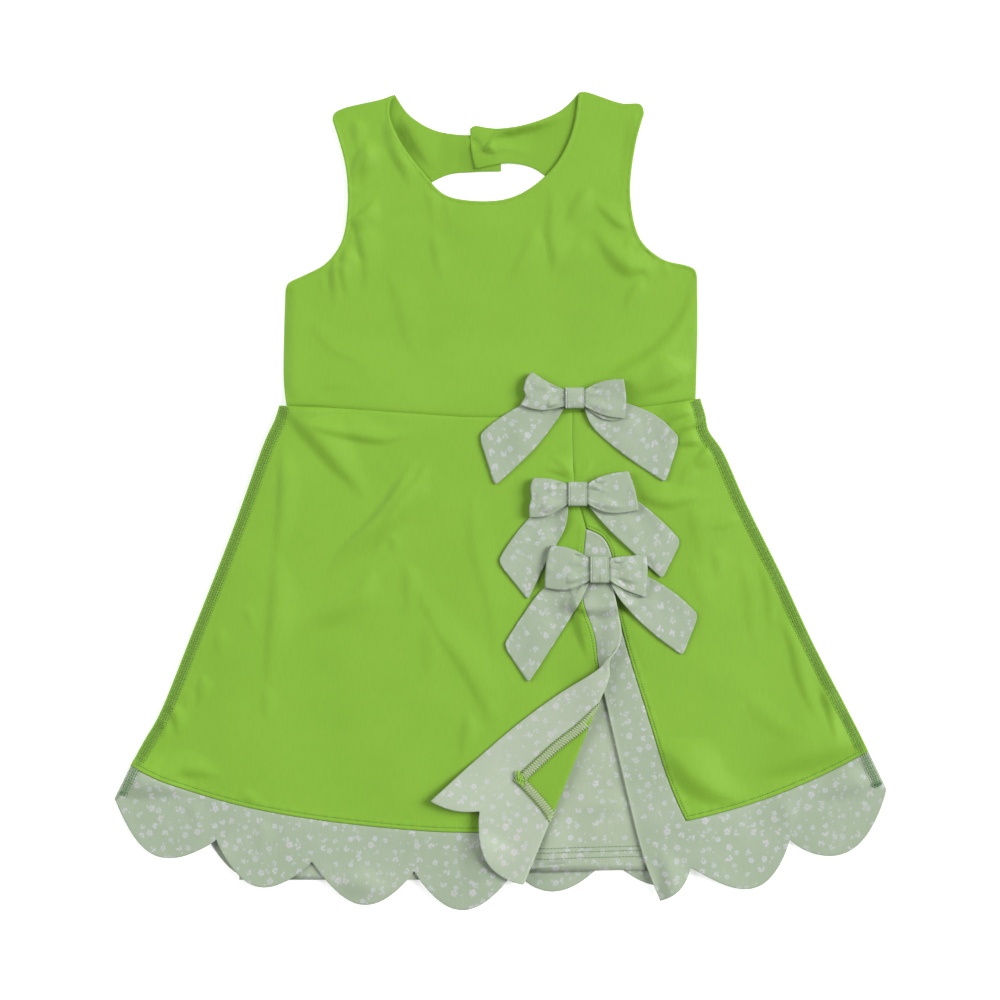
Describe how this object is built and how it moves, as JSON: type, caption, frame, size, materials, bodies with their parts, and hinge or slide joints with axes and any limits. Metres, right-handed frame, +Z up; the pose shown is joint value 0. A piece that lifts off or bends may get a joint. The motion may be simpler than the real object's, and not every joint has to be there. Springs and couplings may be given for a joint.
{
  "type": "athletic dress",
  "caption": "Child's sleeveless athletic dress laid flat: slit A-line skirt with a scalloped print hem, one corner turned over, inner shorts and bows down the front.",
  "frame": {"origin": "centre of the dress's box in plan, on the surface it lies on", "axes": "+Z up from the surface, +Y from hem to shoulders, +X to the right as seen from above"},
  "size_m": [0.5239, 0.5546, 0.0133],
  "materials": {
    "green_knit": "smooth matte polyester knit with a faint sheen",
    "print_knit": "smooth matte polyester knit, pale sage with a small flower print",
    "green_button": "polished"
  },
  "bodies": {
    "root": {"bodice_front": "green_knit", "bodice_back": "green_knit", "neck_button": "green_button", "skirt_front_left": "green_knit", "skirt_front_right": "green_knit", "skirt_back": "green_knit", "band_front_left": "print_knit", "band_front_right": "print_knit", "band_back": "print_knit", "shorts_front_left": "print_knit", "shorts_front_right": "print_knit", "shorts_back_left": "print_knit", "shorts_back_right": "print_knit", "bow_1_tails": "print_knit", "bow_1_loops": "print_knit", "bow_1_knot": "print_knit", "bow_2_tails": "print_knit", "bow_2_loops": "print_knit", "bow_2_knot": "print_knit", "bow_3_tails": "print_knit", "bow_3_loops": "print_knit", "bow_3_knot": "print_knit"}
  },
  "joints": []
}
